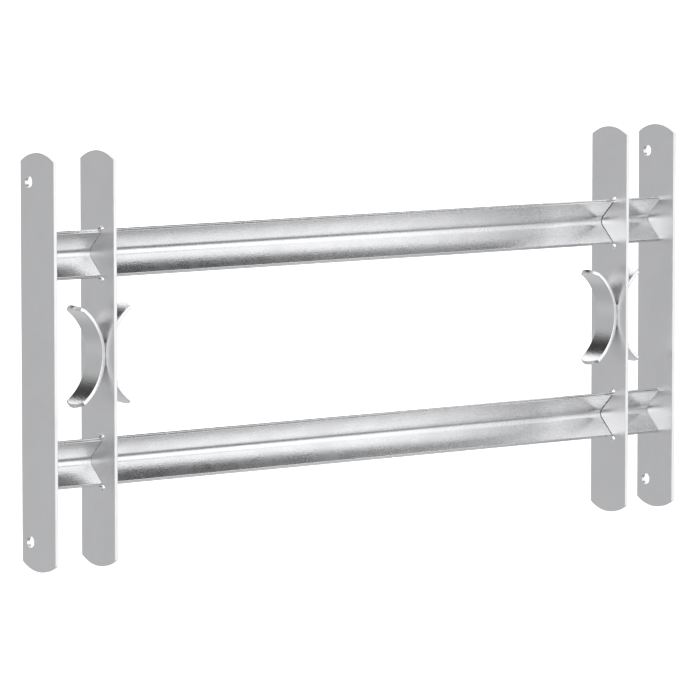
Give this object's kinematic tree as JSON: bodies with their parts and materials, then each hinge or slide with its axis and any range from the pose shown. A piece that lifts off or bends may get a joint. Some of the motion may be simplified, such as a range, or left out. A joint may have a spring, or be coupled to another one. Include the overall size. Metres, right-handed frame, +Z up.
{
  "type": "extending window security grille",
  "caption": "Width-adjustable zinc-plated window security grille: two welded halves of flat uprights, nested V rails and bent bows that slide into each other.",
  "frame": {"origin": "middle of the closed grille: halfway between the outer faces of the two wall bars, half way up and half way through their depth", "axes": "+X along the width towards the sliding half's wall bar, +Y towards the window (the rails' mouths open to -Y, the room), +Z up"},
  "size_m": [0.6, 0.04, 0.3],
  "materials": {
    "bar_steel": "bright zinc plated, satin",
    "rail_steel": "bright zinc plated, fine drawn grain",
    "bow_steel": "bright zinc plated, satin",
    "weld": "weld bead, plated over, uneven"
  },
  "bodies": {
    "fixed_half": {"left_wall_bar": "bar_steel", "right_inner_bar": "bar_steel", "upper_front_rail": "rail_steel", "upper_left_wall_weld": "weld", "upper_right_inner_weld": "weld", "lower_front_rail": "rail_steel", "lower_left_wall_weld": "weld", "lower_right_inner_weld": "weld", "right_middle_bow": "bow_steel", "right_middle_bow_upper_weld": "weld", "right_middle_bow_lower_weld": "weld", "right_outer_bow": "bow_steel", "right_outer_bow_upper_weld": "weld", "right_outer_bow_lower_weld": "weld"},
    "sliding_half": {"right_wall_bar": "bar_steel", "left_inner_bar": "bar_steel", "upper_back_rail": "rail_steel", "upper_right_wall_weld": "weld", "upper_left_inner_weld": "weld", "lower_back_rail": "rail_steel", "lower_right_wall_weld": "weld", "lower_left_inner_weld": "weld", "left_outer_bow": "bow_steel", "left_outer_bow_upper_weld": "weld", "left_outer_bow_lower_weld": "weld", "left_middle_bow": "bow_steel", "left_middle_bow_upper_weld": "weld", "left_middle_bow_lower_weld": "weld"}
  },
  "joints": [
    {"name": "width_slide", "type": "slide", "parent": "fixed_half", "child": "sliding_half", "axis": [1, 0, 0], "range_m": [0, 0.4]}
  ]
}
